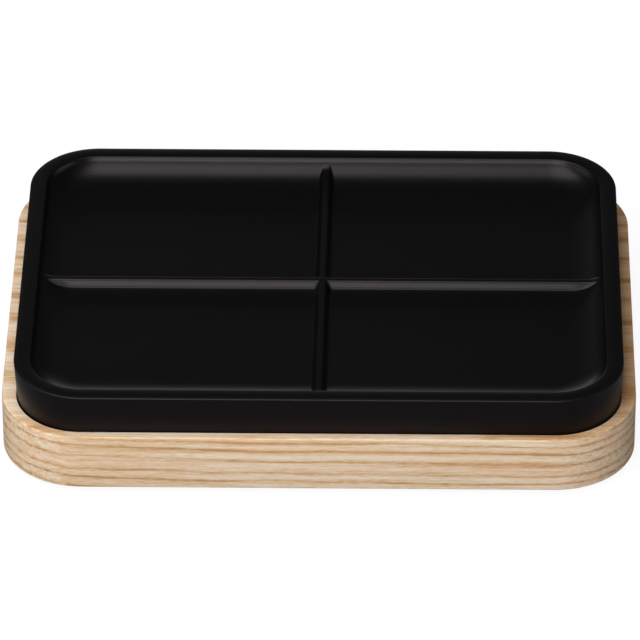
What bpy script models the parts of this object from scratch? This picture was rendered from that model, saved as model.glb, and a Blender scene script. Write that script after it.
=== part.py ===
"""Soap dish: a moulded black tray with a cross rib, seated in a routed ash base on four soft pads.

The origin is under the middle of the dish, on the surface that it stands on. +Z is up, X runs
along the long side, and -Y is the front. All sizes are in metres.
"""

import math

import bmesh
import bpy

# Tray, outside
TRAY_WIDTH = 0.1341
TRAY_DEPTH = 0.0993
TRAY_CORNER_RADIUS = 0.0156
TRAY_WALL_FLARE = 0.00065
TRAY_EDGE_ROUND = 0.00045
TRAY_FOOT_ROUND = 0.0004

# Tray, inside
RIM_WIDTH = 0.0035
RIM_LIP_ROUND = 0.0006
BOWL_DEPTH = 0.0039
BOWL_WALL_RUN = 0.008
BOWL_WALL_RISE = 0.0042
BOWL_STEEPEST = math.radians(82)

# Tray, underneath
FLOOR_THICKNESS = 0.0028
HOLLOW_HEIGHT = 0.0053
HOLLOW_FILLET_RADIUS = 0.002
SKIRT_THICKNESS = 0.0027

# Cross rib
RIB_HEIGHT = 0.00165
RIB_TOP_WIDTH = 0.002
RIB_TOP_ROUND = 0.0005
RIB_FILLET_RADIUS = 0.0014
RIB_FLANK_ANGLE = math.radians(66)
RIB_FOOT_ANGLE = math.radians(8)
RIB_ROOT_DEPTH = 0.001

# Wooden base
SIDE_LEDGE = 0.0033
FRONT_LEDGE = 0.0022
BASE_THICKNESS = 0.0135
RECESS_DROP = 0.003
BASE_TOP_ROUND = 0.0004
BASE_BOTTOM_ROUND = 0.0007

# Pads
PAD_DIAMETER = 0.01
PAD_THICKNESS = 0.002
PAD_POCKET_DEPTH = 0.0011
PAD_EDGE_ROUND = 0.0004
PAD_CENTRE_FROM_SIDE = 0.018
PAD_CENTRE_FROM_FRONT = 0.016

# Clearances
RECESS_CLEARANCE = 0.0003
SEAT_CLEARANCE = 0.0003
POCKET_CLEARANCE = 0.0003

# Fineness of the curved faces
CORNER_STEPS = 10
FILLET_STEPS = 10
RIB_FILLET_STEPS = 4
EDGE_STEPS = 3
PAD_STEPS = 32
HALVINGS = 40
SHARP_ANGLE = math.radians(30)
WELD_DISTANCE = 1e-6

# Sizes that follow from those above
TRAY_HEIGHT = BOWL_DEPTH + FLOOR_THICKNESS + HOLLOW_HEIGHT
TRAY_FOOT_WIDTH = TRAY_WIDTH - 2 * TRAY_WALL_FLARE
TRAY_FOOT_DEPTH = TRAY_DEPTH - 2 * TRAY_WALL_FLARE
RECESS_WIDTH = TRAY_FOOT_WIDTH + 2 * RECESS_CLEARANCE
RECESS_DEPTH = TRAY_FOOT_DEPTH + 2 * RECESS_CLEARANCE
RECESS_CORNER_RADIUS = TRAY_CORNER_RADIUS - TRAY_WALL_FLARE + RECESS_CLEARANCE
BASE_WIDTH = RECESS_WIDTH + 2 * SIDE_LEDGE
BASE_DEPTH = RECESS_DEPTH + 2 * FRONT_LEDGE
BASE_CORNER_RADIUS = RECESS_CORNER_RADIUS + SIDE_LEDGE
PAD_POCKET_RADIUS = PAD_DIAMETER / 2 + POCKET_CLEARANCE

# Heights above the surface that the dish stands on
BASE_UNDERSIDE_Z = PAD_THICKNESS + SEAT_CLEARANCE - PAD_POCKET_DEPTH
BASE_TOP_Z = BASE_UNDERSIDE_Z + BASE_THICKNESS
RECESS_FLOOR_Z = BASE_TOP_Z - RECESS_DROP
TRAY_UNDERSIDE_Z = RECESS_FLOOR_Z + SEAT_CLEARANCE
BOWL_FLOOR_HEIGHT = TRAY_HEIGHT - BOWL_DEPTH


def clear_scene():
    """Removes whatever the file opened with."""
    for obj in list(bpy.data.objects):
        bpy.data.objects.remove(obj, do_unlink=True)


def new_collection(name):
    collection = bpy.data.collections.new(name)
    bpy.context.scene.collection.children.link(collection)
    return collection


def new_material(name, colour, roughness, metallic=0.0):
    material = bpy.data.materials.new(name)
    material.use_nodes = True
    shader = material.node_tree.nodes["Principled BSDF"]
    shader.inputs["Base Color"].default_value = (*colour, 1.0)
    shader.inputs["Roughness"].default_value = roughness
    shader.inputs["Metallic"].default_value = metallic
    return material


def new_object(name, bm, collection, material=None):
    """Turns a bmesh into an object with smooth round faces and sharp corners."""
    bmesh.ops.recalc_face_normals(bm, faces=bm.faces)
    mesh = bpy.data.meshes.new(name)
    bm.to_mesh(mesh)
    bm.free()
    obj = bpy.data.objects.new(name, mesh)
    collection.objects.link(obj)
    if material:
        mesh.materials.append(material)
    mesh.shade_smooth()
    mesh.set_sharp_from_angle(angle=SHARP_ANGLE)
    return obj


def make_cutter(obj):
    """Keeps a shape that only cuts or joins out of the finished object."""
    obj.hide_render = True
    obj.display_type = "WIRE"
    return obj


def add_boolean(obj, other, operation):
    modifier = obj.modifiers.new(f"{operation.lower()} {other.name}", "BOOLEAN")
    modifier.operation = operation
    modifier.object = other


def outline_points(width, depth, corner_radius, z):
    """Points round a rectangle with rounded corners, anticlockwise seen from above."""
    for quarter, (side_x, side_y) in enumerate(((1, 1), (-1, 1), (-1, -1), (1, -1))):
        for step in range(CORNER_STEPS + 1):
            angle = (quarter + step / CORNER_STEPS) * math.pi / 2
            yield (
                side_x * (width / 2 - corner_radius) + corner_radius * math.cos(angle),
                side_y * (depth / 2 - corner_radius) + corner_radius * math.sin(angle),
                z,
            )


def stack_outlines(outlines):
    """Extrudes through a run of (width, depth, corner radius, z) outlines into one closed body."""
    bm = bmesh.new()
    face = bm.faces.new([bm.verts.new(point) for point in outline_points(*outlines[0])])
    for outline in outlines[1:]:
        face = bmesh.ops.extrude_discrete_faces(bm, faces=[face])["faces"][0]
        for vert, point in zip(face.verts, outline_points(*outline)):
            vert.co = point
    bmesh.ops.holes_fill(bm, edges=[edge for edge in bm.edges if edge.is_boundary])
    return bm


def arc(centre, radius, start, end, steps):
    """Points (inset, z) on an arc, with angles measured from +z towards +inset."""
    for step in range(steps + 1):
        angle = start + (end - start) * step / steps
        yield (
            centre[0] + radius * math.sin(angle),
            centre[1] + radius * math.cos(angle),
        )


def wall_turn(slope):
    """The ellipse's own angle at the point where the bowl's wall has the given slope."""
    return math.atan2(BOWL_WALL_RUN * math.sin(slope), BOWL_WALL_RISE * math.cos(slope))


def bowl_profile():
    """The bowl's wall from the rim's lip down to its floor, as (inset, z) from the rim's outline.

    The wall is a quarter of an ellipse, gentle at the floor and steep at the lip's round. Its rise
    is a little more than the bowl's depth, so it meets the lip before it stands upright.
    """
    # The steepest slope is where the ellipse and the lip's round touch, found by halving.
    low, high = 0.0, BOWL_STEEPEST
    for _ in range(HALVINGS):
        slope = (low + high) / 2
        lip_drop = RIM_LIP_ROUND * (1.0 - math.cos(slope))
        if BOWL_WALL_RISE * (1.0 - math.cos(wall_turn(slope))) < BOWL_DEPTH - lip_drop:
            low = slope
        else:
            high = slope
    steepest = low
    lip_centre = (RIM_WIDTH - RIM_LIP_ROUND * math.tan(steepest / 2), TRAY_HEIGHT - RIM_LIP_ROUND)
    points = list(arc(lip_centre, RIM_LIP_ROUND, 0.0, steepest, EDGE_STEPS))
    top_turn = wall_turn(steepest)
    floor_inset = points[-1][0] + BOWL_WALL_RUN * math.sin(top_turn)
    for step in range(1, FILLET_STEPS + 1):
        turn = top_turn * (1.0 - step / FILLET_STEPS)
        points.append(
            (
                floor_inset - BOWL_WALL_RUN * math.sin(turn),
                BOWL_FLOOR_HEIGHT + BOWL_WALL_RISE * (1.0 - math.cos(turn)),
            )
        )
    return points


def tray_profile():
    """The tray's whole section, from the hollow's ceiling round the outside to the bowl's floor."""
    skirt_inset = TRAY_WALL_FLARE + SKIRT_THICKNESS
    hollow_centre = (skirt_inset + HOLLOW_FILLET_RADIUS, HOLLOW_HEIGHT - HOLLOW_FILLET_RADIUS)
    foot_centre = (TRAY_WALL_FLARE + TRAY_FOOT_ROUND, TRAY_FOOT_ROUND)
    edge_centre = (TRAY_EDGE_ROUND, TRAY_HEIGHT - TRAY_EDGE_ROUND)
    points = list(arc(hollow_centre, HOLLOW_FILLET_RADIUS, 0.0, -math.pi / 2, EDGE_STEPS))
    points.append((skirt_inset, 0.0))
    points.extend(arc(foot_centre, TRAY_FOOT_ROUND, -math.pi, -math.pi / 2, EDGE_STEPS))
    points.extend(arc(edge_centre, TRAY_EDGE_ROUND, -math.pi / 2, 0.0, EDGE_STEPS))
    points.extend(bowl_profile())
    return points


def make_rib(name, length, turn, collection):
    """One bar of the cross rib: a rounded crest with a concave fillet down to the floor each side."""
    half_top = RIB_TOP_WIDTH / 2
    crest_round = (half_top - RIB_TOP_ROUND, RIB_HEIGHT - RIB_TOP_ROUND)
    side = list(arc(crest_round, RIB_TOP_ROUND, 0.0, RIB_FLANK_ANGLE, EDGE_STEPS))
    # The flank runs straight from the crest's round to a fillet that meets the floor.
    fillet_height = RIB_FILLET_RADIUS * (1.0 - math.cos(RIB_FLANK_ANGLE))
    flank_height = max(0.0, side[-1][1] - fillet_height)
    fillet_start = side[-1][0] + flank_height / math.tan(RIB_FLANK_ANGLE)
    fillet_centre_x = fillet_start + RIB_FILLET_RADIUS * math.sin(RIB_FLANK_ANGLE)
    for step in range(RIB_FILLET_STEPS + 1):
        slope = RIB_FLANK_ANGLE + (RIB_FOOT_ANGLE - RIB_FLANK_ANGLE) * step / RIB_FILLET_STEPS
        side.append(
            (
                fillet_centre_x - RIB_FILLET_RADIUS * math.sin(slope),
                RIB_FILLET_RADIUS * (math.cos(RIB_FOOT_ANGLE) - math.cos(slope)),
            )
        )
    side.append((side[-1][0], -RIB_ROOT_DEPTH))
    section = side + [(-x, z) for x, z in reversed(side)]

    curve = bpy.data.curves.new(name, "CURVE")
    curve.dimensions = "2D"
    curve.fill_mode = "BOTH"
    curve.extrude = length / 2
    spline = curve.splines.new("POLY")
    spline.points.add(len(section) - 1)
    for point, (x, z) in zip(spline.points, section):
        point.co = (x, z, 0.0, 1.0)
    spline.use_cyclic_u = True
    drawn = bpy.data.objects.new(name, curve)
    collection.objects.link(drawn)
    graph = bpy.context.evaluated_depsgraph_get()
    mesh = bpy.data.meshes.new_from_object(drawn.evaluated_get(graph))
    bm = bmesh.new()
    bm.from_mesh(mesh)
    bmesh.ops.remove_doubles(bm, verts=bm.verts, dist=WELD_DISTANCE)
    bpy.data.objects.remove(drawn)
    bpy.data.meshes.remove(mesh)
    rib = make_cutter(new_object(name, bm, collection))
    rib.rotation_euler = (math.pi / 2, 0.0, turn)
    rib.location.z = TRAY_UNDERSIDE_Z + BOWL_FLOOR_HEIGHT
    return rib


def make_tray(parts, cutters, material):
    """The lift-out tray: one thin moulding with a hollow under its floor."""
    outlines = [
        (TRAY_WIDTH - 2 * inset, TRAY_DEPTH - 2 * inset, TRAY_CORNER_RADIUS - inset, z)
        for inset, z in tray_profile()
    ]
    tray = new_object("soap_tray", stack_outlines(outlines), parts, material)
    tray.location.z = TRAY_UNDERSIDE_Z
    # Each bar ends inside the tray's wall, under the rim.
    across = make_rib("rib_across", TRAY_WIDTH - RIM_WIDTH, math.pi / 2, cutters)
    along = make_rib("rib_front_to_back", TRAY_DEPTH - RIM_WIDTH, 0.0, cutters)
    add_boolean(tray, across, "UNION")
    add_boolean(tray, along, "UNION")
    return tray


def pad_centres():
    """Names and places of the four pads, inside the base's corners."""
    x = BASE_WIDTH / 2 - PAD_CENTRE_FROM_SIDE
    y = BASE_DEPTH / 2 - PAD_CENTRE_FROM_FRONT
    for end, sign_y in (("front", -1), ("back", 1)):
        for side, sign_x in (("left", -1), ("right", 1)):
            yield f"{end}_{side}", (sign_x * x, sign_y * y)


def make_base(parts, cutters, material):
    """The ash block, with a flat recess routed in its top and four shallow pockets underneath."""
    top_centre = (BASE_TOP_ROUND, BASE_THICKNESS - BASE_TOP_ROUND)
    bottom_centre = (BASE_BOTTOM_ROUND, BASE_BOTTOM_ROUND)
    profile = list(arc(bottom_centre, BASE_BOTTOM_ROUND, -math.pi, -math.pi / 2, EDGE_STEPS))
    profile.extend(arc(top_centre, BASE_TOP_ROUND, -math.pi / 2, 0.0, EDGE_STEPS))
    outlines = [
        (BASE_WIDTH - 2 * inset, BASE_DEPTH - 2 * inset, BASE_CORNER_RADIUS - inset, z)
        for inset, z in profile
    ]
    for z in (BASE_THICKNESS, BASE_THICKNESS - RECESS_DROP):
        outlines.append((RECESS_WIDTH, RECESS_DEPTH, RECESS_CORNER_RADIUS, z))
    base = new_object("wood_base", stack_outlines(outlines), parts, material)
    base.location.z = BASE_UNDERSIDE_Z
    for name, (x, y) in pad_centres():
        bpy.ops.mesh.primitive_cylinder_add(
            vertices=PAD_STEPS,
            radius=PAD_POCKET_RADIUS,
            depth=2 * PAD_POCKET_DEPTH,
            location=(x, y, BASE_UNDERSIDE_Z),
        )
        pocket = make_cutter(bpy.context.object)
        pocket.name = f"pocket_{name}"
        for holder in pocket.users_collection:
            holder.objects.unlink(pocket)
        cutters.objects.link(pocket)
        add_boolean(base, pocket, "DIFFERENCE")
    return base


def make_pads(parts, material):
    """Four soft discs, glued in their pockets and standing proud of the wood."""
    pads = []
    for name, (x, y) in pad_centres():
        bm = bmesh.new()
        bmesh.ops.create_cone(
            bm,
            cap_ends=True,
            segments=PAD_STEPS,
            radius1=PAD_DIAMETER / 2,
            radius2=PAD_DIAMETER / 2,
            depth=PAD_THICKNESS,
        )
        pad = new_object(f"pad_{name}", bm, parts, material)
        pad.location = (x, y, PAD_THICKNESS / 2)
        rounding = pad.modifiers.new("round edge", "BEVEL")
        rounding.width = PAD_EDGE_ROUND
        rounding.segments = EDGE_STEPS
        rounding.limit_method = "ANGLE"
        rounding.angle_limit = SHARP_ANGLE
        pads.append(pad)
    return pads


clear_scene()
dish_parts = new_collection("soap_dish")
dish_cutters = new_collection("soap_dish_cutters")

ash = new_material("oiled ash", (0.64, 0.45, 0.29), 0.5)
black_plastic = new_material("satin black plastic", (0.0015, 0.0013, 0.0013), 0.35)
silicone = new_material("grey silicone", (0.35, 0.35, 0.34), 0.6)

dish = bpy.data.objects.new("soap_dish_frame", None)
dish_parts.objects.link(dish)
pieces = [make_base(dish_parts, dish_cutters, ash)]
pieces += make_pads(dish_parts, silicone)
pieces.append(make_tray(dish_parts, dish_cutters, black_plastic))
for piece in pieces:
    piece.parent = dish
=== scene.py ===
import math

import bmesh
import bpy
from mathutils import Matrix, Vector


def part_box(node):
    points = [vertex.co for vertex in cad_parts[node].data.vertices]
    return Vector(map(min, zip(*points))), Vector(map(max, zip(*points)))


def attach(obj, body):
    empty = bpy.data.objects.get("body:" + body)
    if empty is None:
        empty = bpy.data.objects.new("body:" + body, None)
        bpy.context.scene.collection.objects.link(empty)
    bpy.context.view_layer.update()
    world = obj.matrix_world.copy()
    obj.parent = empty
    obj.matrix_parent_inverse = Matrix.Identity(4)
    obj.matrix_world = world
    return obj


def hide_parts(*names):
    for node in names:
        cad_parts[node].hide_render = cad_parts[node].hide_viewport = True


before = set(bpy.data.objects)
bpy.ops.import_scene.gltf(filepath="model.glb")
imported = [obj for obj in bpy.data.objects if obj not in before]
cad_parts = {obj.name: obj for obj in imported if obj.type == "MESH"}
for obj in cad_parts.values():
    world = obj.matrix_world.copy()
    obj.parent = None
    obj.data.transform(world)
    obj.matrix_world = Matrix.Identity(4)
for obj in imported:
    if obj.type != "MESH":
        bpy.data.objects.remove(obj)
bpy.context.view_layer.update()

# Wooden base
# One block of ash, cut so that its growth rings lie nearly flat, with rounded corners and eased
# edges. A shallow recess is routed in its top for the tray and four pockets in its underside for
# the feet. It is sanded and rubbed with oil.

base_low, base_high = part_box("wood_base")
tray_low, tray_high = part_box("soap_tray")

BASE_CORNER_RADIUS = 0.0181
BASE_TOP_EASING = 0.00045
BASE_BOTTOM_EASING = 0.0004
RECESS_CORNER_RADIUS = 0.0148
RECESS_EDGE_EASING = 0.0002
RECESS_FLOOR_FILLET = 0.0006
TRAY_CORNER_RADIUS = 0.0154
TRAY_WALL_FLARE = 0.00065
RECESS_CLEARANCE = 0.0003
SEAT_CLEARANCE = 0.0003
POCKET_CLEARANCE = 0.0003
POCKET_DEPTH = 0.0011
BASE_FACE_STEP = 0.004
CORNER_STEPS = 28
EASING_STEPS = 6
POCKET_TURN_STEPS = 96
BASE_SHARP_ANGLE = 30
WELD_DISTANCE = 1e-7
MILLIMETRES = 1000.0


def arc(centre, radius, start, end, steps):
    """Points (out, height) on an arc, with angles in degrees from straight up towards out."""
    for step in range(steps + 1):
        angle = math.radians(start + (end - start) * step / steps)
        yield centre[0] + radius * math.sin(angle), centre[1] + radius * math.cos(angle)


def widening(length, first, growth=1.0, widest=math.inf, even=0.0):
    """Places from 0 to length, whose steps grow up to the widest once past the even distance."""
    places = [first * step for step in range(round(even / first) + 1)]
    step = first
    # The last stretch takes up what is left, and is never under half of the step before it.
    while places[-1] + 1.5 * step < length:
        places.append(places[-1] + step)
        step = min(step * growth, widest)
    return places + [length]


def draw_section(bm, section, x, y):
    """Draws points (distance out, height) as one line of edges in the plane of X and Z."""
    last = bm.verts.new((x, y, section[0][1]))
    for out, height in section[1:]:
        last = bmesh.ops.extrude_vert_indiv(bm, verts=[last])["verts"][0]
        last.co = (x + out, y, height)


def sweep_quarter(section, centre, along_x, along_y):
    """A quarter of a rounded rectangular piece, from the section of its edge.

    The section's points are (distance out from the corner's centre, height). It is swept along
    the right side, round the corner and along the back, and its ends at distance 0 carry on as
    flat faces to the middle of the piece.
    """
    bm = bmesh.new()
    draw_section(bm, section, centre[0], 0.0)
    origin, up = (0.0, 0.0, 0.0), (0.0, 0.0, 1.0)

    def draw(line, places, direction):
        for near, far in zip(places, places[1:]):
            move = Vector(direction) * (far - near)
            line = bmesh.ops.spin(
                bm, geom=line, cent=origin, axis=up, dvec=move, angle=0.0, steps=1
            )["geom_last"]
        return line

    side = draw(bm.verts[:] + bm.edges[:], along_y, (0.0, 1.0, 0.0))
    # The two lines that the section's ends have drawn carry on as the flat faces.
    inner = [
        edge
        for edge in bm.edges
        if edge.is_boundary
        and all(abs(vert.co.x - centre[0]) < WELD_DISTANCE for vert in edge.verts)
    ]
    inner_verts = list({vert for edge in inner for vert in edge.verts})
    inward = [centre[0] - place for place in reversed(along_x)]
    draw(inner_verts + inner, inward, (-1.0, 0.0, 0.0))
    corner = bmesh.ops.spin(
        bm,
        geom=side,
        cent=(*centre, 0.0),
        axis=up,
        angle=math.pi / 2,
        steps=CORNER_STEPS,
    )["geom_last"]
    draw(corner, inward, (-1.0, 0.0, 0.0))
    bmesh.ops.remove_doubles(bm, verts=bm.verts, dist=WELD_DISTANCE)
    return bm


def mirrored_whole(bm):
    """Mirrors a quarter to the left and to the front, and closes the seams."""
    for axis in ("X", "Y"):
        bmesh.ops.mirror(
            bm,
            geom=bm.verts[:] + bm.edges[:] + bm.faces[:],
            matrix=Matrix.Identity(4),
            merge_dist=WELD_DISTANCE,
            axis=axis,
        )
    bmesh.ops.remove_doubles(bm, verts=bm.verts, dist=WELD_DISTANCE)
    bmesh.ops.recalc_face_normals(bm, faces=bm.faces)


def piece_from(bm, name, sharp_angle=None):
    """An object of the mesh, shaded smooth but for edges sharper than the angle in degrees."""
    mesh = bpy.data.meshes.new(name)
    bm.to_mesh(mesh)
    bm.free()
    mesh.shade_smooth()
    if sharp_angle:
        mesh.set_sharp_from_angle(angle=math.radians(sharp_angle))
    piece = bpy.data.objects.new(name, mesh)
    bpy.context.scene.collection.objects.link(piece)
    return piece


class Varying:
    """A number that changes over a surface. Arithmetic on it adds the Math nodes it needs."""

    def __init__(self, finish, socket):
        self.finish = finish
        self.socket = socket

    def maths(self, operation, *values):
        """The result of a Math node."""
        return self.finish.node("Math", {"operation": operation}, dict(enumerate(values)))

    def __add__(self, other):
        return self.maths("ADD", self, other)

    def __sub__(self, other):
        return self.maths("SUBTRACT", self, other)

    def __rsub__(self, other):
        return self.maths("SUBTRACT", other, self)

    def __mul__(self, other):
        return self.maths("MULTIPLY", self, other)

    def __truediv__(self, other):
        return self.maths("DIVIDE", self, other)

    def __pow__(self, other):
        return self.maths("POWER", self, other)

    __radd__ = __add__
    __rmul__ = __mul__

    def beyond(self, edge):
        """How far the number, with its sign left out, is above the edge, and 0 below it."""
        return self.maths("MAXIMUM", self.maths("ABSOLUTE", self) - edge, 0.0)

    def fraction(self):
        """What the number has over the whole number below it."""
        return self.maths("FRACT", self)

    def step(self, low, high):
        """0 below low and 1 above high, with a smooth rise between them."""
        return self.finish.node(
            "MapRange",
            {"interpolation_type": "SMOOTHSTEP"},
            {"Value": self, "From Min": low, "From Max": high},
        )


class Finish:
    """The nodes of one material, or of the world, built up round its shader."""

    def __init__(self, owner, shader="Principled BSDF", **sockets):
        owner.use_nodes = True
        self.owner = owner
        self.tree = owner.node_tree
        self.shader = self.tree.nodes[shader]
        self.set(**sockets)

    def set(self, **sockets):
        """Gives the shader's sockets their values, with an underscore for a space."""
        for name, value in sockets.items():
            self.give(self.shader.inputs[name.replace("_", " ")], value)

    def give(self, socket, value):
        """Links what varies to the socket, or sets the socket to a plain value."""
        if isinstance(value, Varying):
            self.tree.links.new(value.socket, socket)
        else:
            socket.default_value = value

    def node(self, kind, settings, inputs, output=0):
        """Adds a node, with its settings first and then its sockets, and returns one output."""
        new = self.tree.nodes.new("ShaderNode" + kind)
        for name, value in settings.items():
            if name == "stops":
                new.color_ramp.elements.remove(new.color_ramp.elements[1])
                new.color_ramp.elements[0].position = value[0][0]
                new.color_ramp.elements[0].color = (*value[0][1], 1.0)
                for place, colour in value[1:]:
                    new.color_ramp.elements.new(place).color = (*colour, 1.0)
            else:
                setattr(new, name, value)
        for name, value in inputs.items():
            self.give(new.inputs[name], value)
        return Varying(self, new.outputs[output])

    def place(self, scale=(1.0, 1.0, 1.0), shift=(0.0, 0.0, 0.0)):
        """The point on the surface in millimetres, scaled and then shifted."""
        point = self.node("TexCoord", {}, {}, output="Object")
        return self.node(
            "Mapping",
            {},
            {
                "Vector": point,
                "Location": shift,
                "Scale": tuple(MILLIMETRES * value for value in scale),
            },
        )

    def noise(self, scale, detail=2.0, roughness=0.5, shift=(0.0, 0.0, 0.0)):
        """Cloudy noise from 0 to 1, with its scale per millimetre along X, Y and Z.

        The shift goes to another part of the noise, so that no two patterns are alike.
        """
        return self.node(
            "TexNoise",
            {},
            {
                "Vector": self.place(scale, shift),
                "Scale": 1.0,
                "Detail": detail,
                "Roughness": roughness,
            },
        )

    def mix(self, factor, first, second, blend="MIX"):
        """Mixes two colours."""
        return self.node(
            "Mix",
            {"data_type": "RGBA", "blend_type": blend},
            {0: factor, 6: first, 7: second},
            output=2,
        )

    def bump(self, height, distance, strength):
        """The surface's normal over a relief, whose distance is its depth in metres."""
        return self.node(
            "Bump", {}, {"Height": height, "Distance": distance, "Strength": strength}
        )


base_half = (base_high - base_low) / 2
base_centre = (base_half.x - BASE_CORNER_RADIUS, base_half.y - BASE_CORNER_RADIUS)
tray_half = (tray_high - tray_low) / 2
recess_half_depth = tray_half.y - TRAY_WALL_FLARE + RECESS_CLEARANCE
recess_floor_z = tray_low.z - SEAT_CLEARANCE
recess_edge_out = RECESS_CORNER_RADIUS + RECESS_EDGE_EASING
# The ledge is narrower at the front and the back than at the sides, so the centres of the recess's
# corners lie further out than those of the block's.
recess_centre_shift = recess_half_depth - RECESS_CORNER_RADIUS - base_centre[1]

base_section = [(0.0, base_low.z)]
base_section += arc(
    (BASE_CORNER_RADIUS - BASE_BOTTOM_EASING, base_low.z + BASE_BOTTOM_EASING),
    BASE_BOTTOM_EASING, 180, 90, EASING_STEPS,
)
base_section += arc(
    (BASE_CORNER_RADIUS - BASE_TOP_EASING, base_high.z - BASE_TOP_EASING),
    BASE_TOP_EASING, 90, 0, EASING_STEPS,
)
base_section += arc(
    (recess_edge_out, base_high.z - RECESS_EDGE_EASING),
    RECESS_EDGE_EASING, 0, -90, EASING_STEPS,
)
base_section += arc(
    (RECESS_CORNER_RADIUS - RECESS_FLOOR_FILLET, recess_floor_z + RECESS_FLOOR_FILLET),
    RECESS_FLOOR_FILLET, 90, 180, EASING_STEPS,
)
base_section.append((0.0, recess_floor_z))

base_bm = sweep_quarter(
    base_section,
    base_centre,
    widening(base_centre[0], BASE_FACE_STEP),
    widening(base_centre[1], BASE_FACE_STEP),
)
for vert in base_bm.verts:
    out = math.hypot(max(0.0, vert.co.x - base_centre[0]), max(0.0, vert.co.y - base_centre[1]))
    over_underside = vert.co.z > (base_low.z + recess_floor_z) / 2
    if over_underside and out < recess_edge_out + WELD_DISTANCE:
        vert.co.y += recess_centre_shift * min(1.0, vert.co.y / base_centre[1])
mirrored_whole(base_bm)

FOOT_NAMES = ("pad_front_left", "pad_front_right", "pad_back_left", "pad_back_right")
pocket_bm = bmesh.new()
for foot in FOOT_NAMES:
    foot_low, foot_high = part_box(foot)
    foot_centre = (foot_low + foot_high) / 2
    pocket_radius = (foot_high.x - foot_low.x) / 2 + POCKET_CLEARANCE
    bmesh.ops.create_cone(
        pocket_bm,
        cap_ends=True,
        segments=POCKET_TURN_STEPS,
        radius1=pocket_radius,
        radius2=pocket_radius,
        depth=2 * POCKET_DEPTH,
        matrix=Matrix.Translation((foot_centre.x, foot_centre.y, base_low.z)),
    )
pockets = piece_from(pocket_bm, "pocket_cutter")
uncut = piece_from(base_bm, "uncut_base")
cut = uncut.modifiers.new("pockets", "BOOLEAN")
cut.operation = "DIFFERENCE"
cut.object = pockets
base_mesh = bpy.data.meshes.new_from_object(
    uncut.evaluated_get(bpy.context.evaluated_depsgraph_get())
)
for helper in (uncut, pockets):
    bpy.data.objects.remove(helper)
base_mesh.name = "ash_base"
base_mesh.shade_smooth()
base_mesh.set_sharp_from_angle(angle=math.radians(BASE_SHARP_ANGLE))
ash_base = bpy.data.objects.new("ash_base", base_mesh)
bpy.context.scene.collection.objects.link(ash_base)

# The growth rings are nearly flat sheets. RING_LINES says how far under the front's top edge each
# line comes out, in millimetres. Those below 0 come out on the top face, further back.
RING_LINES = (
    -35.5, -33.1, -30.9, -28.4, -26.5, -24.0, -21.9, -19.3, -17.4, -15.3, -12.8, -10.6, -8.6,
    -6.2, -4.3, -2.0, -0.5, 1.26, 3.30, 6.05, 9.50, 11.60, 14.0, 16.3,
)
RING_DIP_ALONG = (0.015, -0.00014)
RING_DIP_BACK = (0.05, 0.0018)
RING_DRIFT = 1.6
RING_WAVE = 0.7
RING_FRAY = 0.45
NOISE_MIDDLE = 0.5
# The ramp that counts the years rises by 1 over this many of them.
YEARS_TO_ONE = 10.0
# Where in a year, from 0 to 1, its dark line fades and returns and its palest wood comes and goes.
LINE_FADES = (0.02, 0.20)
LINE_RETURNS = (0.82, 0.99)
PALEST_COMES = (0.15, 0.45)
PALEST_GOES = (0.60, 0.90)
# The levels of a noise between which a line grows whole, the wood turns reddish and a pore opens.
UNBROKEN_EDGES = (0.30, 0.62)
REDDISH_EDGES = (0.40, 0.70)
PORE_EDGES = (0.58, 0.68)
# The wood's colour follows a tone from 0 to 1, which the things below raise or lower.
DARK_LINE = (0.470, 0.262, 0.115)
GOLDEN = (0.622, 0.412, 0.228)
PLAIN = (0.706, 0.528, 0.356)
CREAM = (0.778, 0.656, 0.516)
TONE_COLOURS = ((0.05, DARK_LINE), (0.33, GOLDEN), (0.56, PLAIN), (0.85, CREAM))
MIDDLE_TONE = 0.53
BANDS_TONE = 1.1
FIBRES_TONE = 1.0
SHORT_FIBRES_TONE = 0.8
PALEST_TONE = 0.14
FAINT_LINE_TONE = 0.14
UNBROKEN_LINE_TONE = 0.28
# Tints laid over that colour. The places of the painted shade on the right ledge are in millimetres.
REDDISH = (0.80, 0.42, 0.24, 1.0)
REDDISH_SHARE = 0.16
# Painted shade for the right ledge beside the tray, where the tray's shadow falls.
RIGHT_LEDGE_SHADE_TINT = (0.80, 0.66, 0.52, 1.0)
RIGHT_LEDGE_SHADE_ALONG = (61.0, 68.5)
RIGHT_LEDGE_SHADE_UNDER_TOP = (0.2, 0.6)
PORE_BROWN = (0.34, 0.18, 0.085, 1.0)
PORES_BETWEEN_LINES = 0.30
PORE_SHARE = 0.40
ASH_ROUGHNESS = 0.56
FIBRES_ROUGHER = 0.10
PORES_ROUGHER = 0.18
# The depth of the grain's relief in metres, and the shares of it that each thing takes.
GRAIN_RELIEF = 0.00005
FIBRES_RAISED = 0.5
PORES_SUNK = 0.9
LINES_SUNK = 0.2

ash = Finish(bpy.data.materials.new("oiled_ash"), Specular_IOR_Level=0.25)
spot = ash.place()
along, back, height = (
    ash.node("SeparateXYZ", {}, {"Vector": spot}, output=axis) for axis in range(3)
)
drift = ash.noise((0.020, 0.050, 0.10), detail=1.0, shift=(3.1, 7.4, 1.9))
waves = ash.noise((0.10, 0.60, 0.60), detail=2.0, shift=(11.3, 2.7, 5.1))
fibres = ash.noise((0.10, 2.2, 2.4), detail=3.0, roughness=0.65)
behind = back + MILLIMETRES * base_half.y
under_top = MILLIMETRES * base_high.z - height
depth = (
    under_top
    - along * (RING_DIP_ALONG[0] + along * RING_DIP_ALONG[1])
    - behind * (RING_DIP_BACK[0] + behind * RING_DIP_BACK[1])
    + (drift - NOISE_MIDDLE) * RING_DRIFT
    + (waves - NOISE_MIDDLE) * RING_WAVE
    + (fibres - NOISE_MIDDLE) * RING_FRAY
)
first_line, last_line = RING_LINES[0], RING_LINES[-1]
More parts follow.
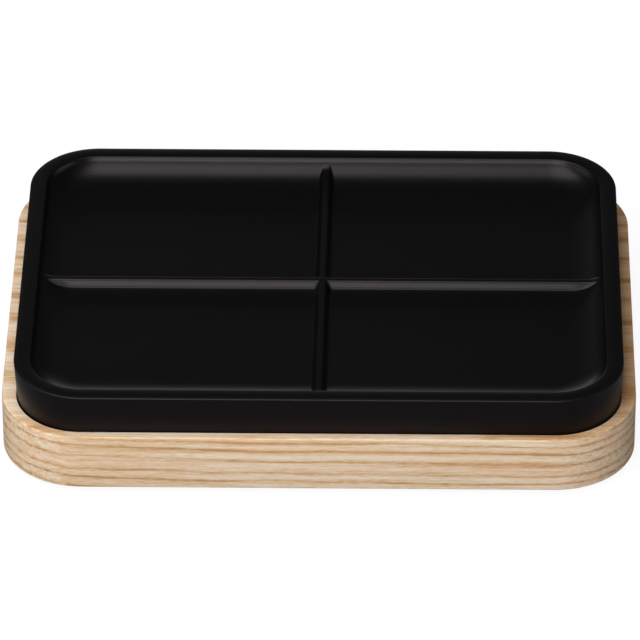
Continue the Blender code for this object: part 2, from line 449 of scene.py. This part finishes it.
ring = ash.node(
    "ValToRGB",
    {
        "stops": [
            ((line - first_line) / (last_line - first_line), (number / YEARS_TO_ONE,) * 3)
            for number, line in enumerate(RING_LINES)
        ]
    },
    {"Fac": (depth - first_line) / (last_line - first_line)},
)
year = (YEARS_TO_ONE * ring).fraction()
# Each line is a thin band of open pores, dark with oil and faint in places. The dense wood between
# two lines is pale.
line_dark = 1.0 - year.step(*LINE_FADES) + year.step(*LINE_RETURNS)
palest = year.step(*PALEST_COMES) - year.step(*PALEST_GOES)
unbroken = ash.noise((0.035, 0.5, 0.5), detail=3.0, shift=(5.0, 1.0, 9.0)).step(*UNBROKEN_EDGES)
bands = ash.noise((0.018, 0.75, 0.85), detail=3.0, roughness=0.6, shift=(6.0, 2.0, 8.0))
short_fibres = ash.noise((0.45, 3.4, 3.4), detail=2.0, roughness=0.6, shift=(2.0, 8.0, 4.0))
tone = (
    MIDDLE_TONE
    + BANDS_TONE * (bands - NOISE_MIDDLE)
    + FIBRES_TONE * (fibres - NOISE_MIDDLE)
    + SHORT_FIBRES_TONE * (short_fibres - NOISE_MIDDLE)
    + PALEST_TONE * palest
    - (FAINT_LINE_TONE + UNBROKEN_LINE_TONE * unbroken) * line_dark
)
wood = ash.node("ValToRGB", {"stops": TONE_COLOURS}, {"Fac": tone})
warmth = ash.noise((0.03, 0.16, 0.20), detail=2.0, shift=(1.0, 4.0, 2.0)).step(*REDDISH_EDGES)
wood = ash.mix(REDDISH_SHARE * warmth, wood, REDDISH)
# Painted shade: the right end of the top face, which lies in the tray's shadow, is made darker and
# more golden.
right_ledge_painted_shade = along.step(*RIGHT_LEDGE_SHADE_ALONG) * (1.0 - under_top.step(*RIGHT_LEDGE_SHADE_UNDER_TOP))
wood = ash.mix(right_ledge_painted_shade, wood, RIGHT_LEDGE_SHADE_TINT, blend="MULTIPLY")
pores = ash.noise((0.30, 5.5, 5.5), detail=1.0, shift=(9.0, 3.0, 6.0)).step(*PORE_EDGES)
pores = pores * (PORES_BETWEEN_LINES + (1.0 - PORES_BETWEEN_LINES) * line_dark)
wood = ash.mix(PORE_SHARE * pores, wood, PORE_BROWN)
ash.set(
    Base_Color=wood,
    Roughness=ASH_ROUGHNESS + FIBRES_ROUGHER * fibres + PORES_ROUGHER * pores,
    Normal=ash.bump(
        FIBRES_RAISED * fibres - PORES_SUNK * pores - LINES_SUNK * line_dark,
        distance=GRAIN_RELIEF,
        strength=0.6,
    ),
)
ash_base.data.materials.append(ash.owner)
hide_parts("wood_base")
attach(ash_base, "base")

# Feet
# Four grey silicone discs, punched from sheet with a softly rounded edge and glued in the pockets.
# They keep the wood off a wet surface and stop it sliding.

FOOT_EDGE_ROUND = 0.0004
FOOT_FLAT_SHARE = 0.9
FOOT_EDGE_STEPS = 8
FOOT_TURN_STEPS = 96
DARKER_GREY = (0.30, 0.30, 0.29, 1.0)
LIGHTER_GREY = (0.38, 0.38, 0.37, 1.0)
SILICONE_ROUGHNESS = 0.55
MOTTLE_ROUGHER = 0.15
SILICONE_RELIEF = 0.00004

silicone = Finish(bpy.data.materials.new("grey_silicone"), Specular_IOR_Level=0.35)
mottle = silicone.noise((0.5, 0.5, 0.5), detail=3.0)
grit = silicone.noise((9.0, 9.0, 9.0), detail=2.0)
silicone.set(
    Base_Color=silicone.mix(mottle, DARKER_GREY, LIGHTER_GREY),
    Roughness=SILICONE_ROUGHNESS + MOTTLE_ROUGHER * mottle,
    Normal=silicone.bump(grit, distance=SILICONE_RELIEF, strength=0.5),
)
for foot in FOOT_NAMES:
    foot_low, foot_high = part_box(foot)
    foot_centre = (foot_low + foot_high) / 2
    radius = (foot_high.x - foot_low.x) / 2
    edge_out = radius - FOOT_EDGE_ROUND
    # A ring near the edge keeps the smooth shading of the flat faces flat.
    section = [(0.0, foot_low.z), (FOOT_FLAT_SHARE * edge_out, foot_low.z)]
    section += arc(
        (edge_out, foot_low.z + FOOT_EDGE_ROUND), FOOT_EDGE_ROUND, 180, 90, FOOT_EDGE_STEPS
    )
    section += arc(
        (edge_out, foot_high.z - FOOT_EDGE_ROUND), FOOT_EDGE_ROUND, 90, 0, FOOT_EDGE_STEPS
    )
    section += [(FOOT_FLAT_SHARE * edge_out, foot_high.z), (0.0, foot_high.z)]
    bm = bmesh.new()
    draw_section(bm, section, foot_centre.x, foot_centre.y)
    bmesh.ops.spin(
        bm,
        geom=bm.verts[:] + bm.edges[:],
        cent=(foot_centre.x, foot_centre.y, 0.0),
        axis=(0.0, 0.0, 1.0),
        angle=2 * math.pi,
        steps=FOOT_TURN_STEPS,
        use_merge=True,
    )
    bmesh.ops.remove_doubles(bm, verts=bm.verts, dist=WELD_DISTANCE)
    bmesh.ops.recalc_face_normals(bm, faces=bm.faces)
    disc = piece_from(bm, foot + "_disc")
    disc.data.materials.append(silicone.owner)
    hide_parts(foot)
    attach(disc, "base")

# Tray
# One black moulding that drops into the recess and lifts out by hand. Its rim is slightly crowned,
# its bowl's wall curves all round into the floor, and a low cross rib keeps the soap out of the
# water. It is hollow underneath, and comes from a mould with a fine satin texture.

BOWL_DEPTH = 0.0039
BOWL_WALL_RUN = 0.008
BOWL_WALL_RISE = 0.0042
FLOOR_THICKNESS = 0.0028
RIM_INNER_INSET = 0.0034
RIM_CROWN_ANGLE = 7.0
RIM_LIP_ROUND = 0.00048
TRAY_EDGE_ROUND = 0.00026
TRAY_FOOT_ROUND = 0.0004
SKIRT_THICKNESS = 0.0027
SKIRT_INNER_ROUND = 0.0003
HOLLOW_FILLET_RADIUS = 0.002
RIB_HEIGHT = 0.0016
RIB_FLAT_HALF = 0.00035
RIB_CREST_ROUND = 0.00055
RIB_FLANK_ANGLE = 60.0
RIB_FOOT_RADIUS = 0.0006
RIB_CROSSING_BLEND = 0.0006
RIB_WALL_BLEND = 0.0012
RIB_SHIFT = 0.0004
RIB_SLANT = 0.006
RIB_SHIFT_REACH = (0.003, 0.009)
TRAY_FACE_STEPS = {"first": 0.0001, "growth": 1.2, "widest": 0.003, "even": 0.0029}
BOWL_WALL_STEPS = 34
LIP_STEPS = 9
CROWN_STEPS = 10
TRAY_EDGE_STEPS = 9
TRAY_FOOT_STEPS = 5
SKIRT_STEPS = 4
HOLLOW_FILLET_STEPS = 8
STEEPEST_WALL = 85.0
HALVINGS = 30
TRAY_SHARP_ANGLE = 50
BLACK = (0.0010, 0.0008, 0.0008, 1.0)
SHEEN_TINT = (1.0, 0.90, 0.95, 1.0)
SATIN_ROUGHNESS = 0.31
CLOUD_ROUGHER = 0.06
OUTER_WALL_ROUGHER = 0.08
SATIN_RELIEF = 0.00002

tray_centre = (tray_half.x - TRAY_CORNER_RADIUS, tray_half.y - TRAY_CORNER_RADIUS)
bowl_floor_z = tray_high.z - BOWL_DEPTH
hollow_ceiling_z = bowl_floor_z - FLOOR_THICKNESS


def wall_turn(slope):
    """The ellipse's own angle at the point where the bowl's wall has the given slope."""
    slope = math.radians(slope)
    return math.atan2(BOWL_WALL_RUN * math.sin(slope), BOWL_WALL_RISE * math.cos(slope))


def tray_section():
    """From the middle of the bowl's floor over the rim and down to the hollow's ceiling."""
    crown_sin = math.sin(math.radians(RIM_CROWN_ANGLE))
    crown_cos = math.cos(math.radians(RIM_CROWN_ANGLE))
    rim_in = TRAY_CORNER_RADIUS - RIM_INNER_INSET
    rim_out = TRAY_CORNER_RADIUS - TRAY_EDGE_ROUND * (1.0 - crown_sin)
    crown_radius = (rim_out - rim_in) / 2 / crown_sin
    rim_edge_z = tray_high.z - crown_radius * (1.0 - crown_cos)
    lip_centre = (rim_in + RIM_LIP_ROUND * crown_sin, rim_edge_z - RIM_LIP_ROUND * crown_cos)
    edge_centre = (TRAY_CORNER_RADIUS - TRAY_EDGE_ROUND, rim_edge_z - TRAY_EDGE_ROUND * crown_cos)
    # The wall is a quarter of an ellipse. It ends at the slope where it touches the lip's round,
    # which is found by halving.
    low, high = 0.0, STEEPEST_WALL
    for _ in range(HALVINGS):
        slope = (low + high) / 2
        lip_z = lip_centre[1] + RIM_LIP_ROUND * math.cos(math.radians(slope))
        if bowl_floor_z + BOWL_WALL_RISE * (1.0 - math.cos(wall_turn(slope))) < lip_z:
            low = slope
        else:
            high = slope
    wall_top_out = lip_centre[0] - RIM_LIP_ROUND * math.sin(math.radians(slope))
    floor_out = wall_top_out - BOWL_WALL_RUN * math.sin(wall_turn(slope))
    wall_flare = math.degrees(math.atan2(TRAY_WALL_FLARE, edge_centre[1] - tray_low.z))
    foot_out = TRAY_CORNER_RADIUS - TRAY_WALL_FLARE - TRAY_FOOT_ROUND
    skirt_in = TRAY_CORNER_RADIUS - TRAY_WALL_FLARE - SKIRT_THICKNESS

    points = [(0.0, bowl_floor_z)]
    for step in range(BOWL_WALL_STEPS + 1):
        turn = wall_turn(slope * step / BOWL_WALL_STEPS)
        points.append(
            (
                floor_out + BOWL_WALL_RUN * math.sin(turn),
                bowl_floor_z + BOWL_WALL_RISE * (1.0 - math.cos(turn)),
            )
        )
    crown_centre = ((rim_in + rim_out) / 2, tray_high.z - crown_radius)
    for centre, radius, start, end, steps in (
        (lip_centre, RIM_LIP_ROUND, -slope, -RIM_CROWN_ANGLE, LIP_STEPS),
        (crown_centre, crown_radius, -RIM_CROWN_ANGLE, RIM_CROWN_ANGLE, CROWN_STEPS),
        (edge_centre, TRAY_EDGE_ROUND, RIM_CROWN_ANGLE, 90 + wall_flare, TRAY_EDGE_STEPS),
    ):
        # Each arc starts where the last one ends.
        points += list(arc(centre, radius, start, end, steps))[1:]
    points += arc(
        (foot_out, tray_low.z + TRAY_FOOT_ROUND),
        TRAY_FOOT_ROUND, 90 + wall_flare, 180, TRAY_FOOT_STEPS,
    )
    points += arc(
        (skirt_in + SKIRT_INNER_ROUND, tray_low.z + SKIRT_INNER_ROUND),
        SKIRT_INNER_ROUND, 180, 270, SKIRT_STEPS,
    )
    points += arc(
        (skirt_in - HOLLOW_FILLET_RADIUS, hollow_ceiling_z - HOLLOW_FILLET_RADIUS),
        HOLLOW_FILLET_RADIUS, 90, 0, HOLLOW_FILLET_STEPS,
    )
    points.append((0.0, hollow_ceiling_z))
    return points


def rib_height(x, y):
    """How high the cross rib stands over the bowl's floor."""
    # The distance out from the nearer rib's flat top is a little less where the two ribs cross, so
    # that a fillet joins them.
    near = max(RIB_CROSSING_BLEND - abs(abs(x) - abs(y)), 0.0) / RIB_CROSSING_BLEND
    out = min(abs(x), abs(y)) - near * near * RIB_CROSSING_BLEND / 4 - RIB_FLAT_HALF
    flank = math.radians(RIB_FLANK_ANGLE)
    round_out = RIB_CREST_ROUND * math.sin(flank)
    round_drop = RIB_CREST_ROUND * (1.0 - math.cos(flank))
    foot_rise = RIB_FOOT_RADIUS * (1.0 - math.cos(flank))
    flank_out = (RIB_HEIGHT - round_drop - foot_rise) / math.tan(flank)
    foot_left = round_out + flank_out + RIB_FOOT_RADIUS * math.sin(flank) - out
    if out <= 0.0:
        return RIB_HEIGHT
    if out <= round_out:
        return RIB_HEIGHT - RIB_CREST_ROUND + math.sqrt(RIB_CREST_ROUND**2 - out**2)
    if out <= round_out + flank_out:
        return RIB_HEIGHT - round_drop - (out - round_out) * math.tan(flank)
    if foot_left > 0.0:
        return RIB_FOOT_RADIUS - math.sqrt(RIB_FOOT_RADIUS**2 - foot_left**2)
    return 0.0


tray_bm = sweep_quarter(
    tray_section(),
    tray_centre,
    widening(tray_centre[0], **TRAY_FACE_STEPS),
    widening(tray_centre[1], **TRAY_FACE_STEPS),
)
rim_middle_out = TRAY_CORNER_RADIUS - RIM_INNER_INSET / 2
# The cross rib is raised out of the bowl's floor and wall.
for vert in tray_bm.verts:
    out = math.hypot(max(0.0, vert.co.x - tray_centre[0]), max(0.0, vert.co.y - tray_centre[1]))
    if out < rim_middle_out and vert.co.z > bowl_floor_z - FLOOR_THICKNESS / 2:
        wall = max(0.0, vert.co.z - bowl_floor_z)
        rib = rib_height(vert.co.x, vert.co.y)
        # The taller of wall and rib counts, with a fillet where they meet.
        near = max(0.0, 1.0 - abs(wall - rib) / RIB_WALL_BLEND)
        fillet = near * near * min(wall, rib, RIB_WALL_BLEND / 4)
        vert.co.z = bowl_floor_z + max(wall, rib) + fillet
mirrored_whole(tray_bm)
# The rib that runs from front to back lies a little to the right of the middle, and slightly askew.
for vert in tray_bm.verts:
    beyond = (abs(vert.co.x) - RIB_SHIFT_REACH[0]) / (RIB_SHIFT_REACH[1] - RIB_SHIFT_REACH[0])
    vert.co.x += (RIB_SHIFT + RIB_SLANT * vert.co.y) * (1.0 - min(1.0, max(0.0, beyond)))
tray = piece_from(tray_bm, "lift_out_tray", TRAY_SHARP_ANGLE)

satin = Finish(
    bpy.data.materials.new("satin_black"),
    Base_Color=BLACK,
    Specular_IOR_Level=0.25,
    Specular_Tint=SHEEN_TINT,
)
cloud = satin.noise((0.03, 0.03, 0.03), detail=3.0, shift=(4.0, 9.0, 2.0))
texture = satin.noise((4.0, 4.0, 4.0), detail=3.0, roughness=0.6)
# The outer wall came out of the mould duller than the bowl.
spot = satin.place()
past_x, past_y = (
    satin.node("SeparateXYZ", {}, {"Vector": spot}, output=axis).beyond(MILLIMETRES * centre)
    for axis, centre in enumerate(tray_centre)
)
wall_out = TRAY_CORNER_RADIUS - TRAY_WALL_FLARE
outer_wall = ((past_x**2.0 + past_y**2.0) ** 0.5).step(
    MILLIMETRES * (wall_out - TRAY_EDGE_ROUND), MILLIMETRES * wall_out
)
satin.set(
    Roughness=SATIN_ROUGHNESS + CLOUD_ROUGHER * cloud + OUTER_WALL_ROUGHER * outer_wall,
    Normal=satin.bump(texture, distance=SATIN_RELIEF, strength=0.35),
)
tray.data.materials.append(satin.owner)
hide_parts("soap_tray")
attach(tray, "tray")

# Setting
# A plain white floor in a dim room, with soft lamps all round: a large one overhead, a bright strip
# and a box in front, one on each side and a small card behind. The camera stands well back and looks
# down on the front edge, so that the dish shows with almost no perspective.

FLOOR_SIZE = 8.0
FLOOR_GAP = 0.00002
FLOOR_GREY = (0.11, 0.11, 0.11, 1.0)
FLOOR_SEEN = 0.92
FLOOR_MIRRORED = 0.10
ROOM_LIGHT = 0.05
ROOM_MIRRORED = 0.01
WHITE = (1.0, 1.0, 1.0, 1.0)
# The image is square. TARGET shows at TARGET_PIXEL, counted from its top left corner.
IMAGE_SIZE = 640
FOCAL_PIXELS = 6035.8
SENSOR_WIDTH = 36.0
CAMERA_YAW = math.radians(-0.945)
CAMERA_PITCH = math.radians(34.921)
CAMERA_ROLL = math.radians(0.161)
CAMERA_DISTANCE = 1.3586
CAMERA_REACH = (0.05, 50.0)
TARGET = Vector((0.0, 0.0, 0.0162))
TARGET_PIXEL = (320.94, 299.20)
LAMP_DISTANCE = 0.8
OVERHEAD = 0.7


def glow(finish, light, seen, mirrored):
    """The strength of a white surface: what it lights with, and what it gains where it is seen.

    It gains less where gloss or glass mirrors it, so that the black tray stays black.
    """
    camera_ray, glossy_ray, through_ray = (
        finish.node("LightPath", {}, {}, output=ray)
        for ray in ("Is Camera Ray", "Is Glossy Ray", "Is Transmission Ray")
    )
    return light + seen * camera_ray + mirrored * (glossy_ray + through_ray)


floor_bm = bmesh.new()
bmesh.ops.create_grid(floor_bm, x_segments=1, y_segments=1, size=FLOOR_SIZE / 2)
bmesh.ops.translate(floor_bm, vec=(0.0, 0.0, -FLOOR_GAP), verts=floor_bm.verts)
floor = piece_from(floor_bm, "floor")
paper = Finish(
    bpy.data.materials.new("white_floor"),
    Base_Color=FLOOR_GREY,
    Roughness=0.9,
    Specular_IOR_Level=0.0,
    Emission_Color=WHITE,
)
paper.set(Emission_Strength=glow(paper, 0.0, FLOOR_SEEN, FLOOR_MIRRORED))
floor.data.materials.append(paper.owner)

camera = bpy.data.objects.new("camera", bpy.data.cameras.new("camera"))
bpy.context.scene.collection.objects.link(camera)
bpy.context.scene.camera = camera
camera.data.sensor_width = SENSOR_WIDTH
camera.data.lens = SENSOR_WIDTH * FOCAL_PIXELS / IMAGE_SIZE
camera.data.clip_start, camera.data.clip_end = CAMERA_REACH
forward = Vector(
    (
        math.sin(CAMERA_YAW) * math.cos(CAMERA_PITCH),
        math.cos(CAMERA_YAW) * math.cos(CAMERA_PITCH),
        -math.sin(CAMERA_PITCH),
    )
)
right = Vector((math.cos(CAMERA_YAW), -math.sin(CAMERA_YAW), 0.0))
down = forward.cross(right)
right, down = (
    math.cos(CAMERA_ROLL) * right + math.sin(CAMERA_ROLL) * down,
    -math.sin(CAMERA_ROLL) * right + math.cos(CAMERA_ROLL) * down,
)
aim = (
    forward
    + right * (TARGET_PIXEL[0] - IMAGE_SIZE / 2) / FOCAL_PIXELS
    + down * (TARGET_PIXEL[1] - IMAGE_SIZE / 2) / FOCAL_PIXELS
)
camera.matrix_world = Matrix.Translation(TARGET - aim * CAMERA_DISTANCE) @ Matrix(
    (right, -down, -forward)
).transposed().to_4x4()


def soft_box(name, direction, width, height, radiance):
    """A rectangular lamp that faces the dish, with its top and bottom edges about level."""
    lamp = bpy.data.lights.new(name, "AREA")
    lamp.shape = "RECTANGLE"
    lamp.size = width
    lamp.size_y = height
    lamp.energy = radiance * math.pi * width * height
    holder = bpy.data.objects.new(name, lamp)
    bpy.context.scene.collection.objects.link(holder)
    away = Vector(direction).normalized()
    if away.z > OVERHEAD:
        across = Vector((1.0, 0.0, -away.x / away.z)).normalized()
    else:
        across = Vector((-away.y, away.x, 0.0)).normalized()
    turned = Matrix((across, away.cross(across), away)).transposed().to_4x4()
    holder.matrix_world = Matrix.Translation(away * LAMP_DISTANCE) @ turned


soft_box("overhead_box", (-0.249, -0.194, 1.0), width=0.62, height=0.71, radiance=3.4)
soft_box("front_strip", (-0.197, -0.925, 0.326), width=0.65, height=0.17, radiance=10.2)
soft_box("front_box", (-0.234, -0.720, 0.652), width=0.65, height=0.43, radiance=1.45)
soft_box("left_box", (-0.919, -0.246, 0.309), width=0.75, height=0.43, radiance=1.2)
soft_box("right_box", (0.951, -0.255, 0.174), width=0.75, height=0.22, radiance=1.9)
soft_box("back_card", (-0.100, 0.987, 0.122), width=0.34, height=0.20, radiance=1.1)

studio = bpy.data.worlds.new("studio")
bpy.context.scene.world = studio
room = Finish(studio, shader="Background", Color=WHITE)
room.set(Strength=glow(room, ROOM_LIGHT, 1.0 - ROOM_LIGHT, ROOM_MIRRORED))

bpy.context.scene.view_settings.view_transform = "Standard"
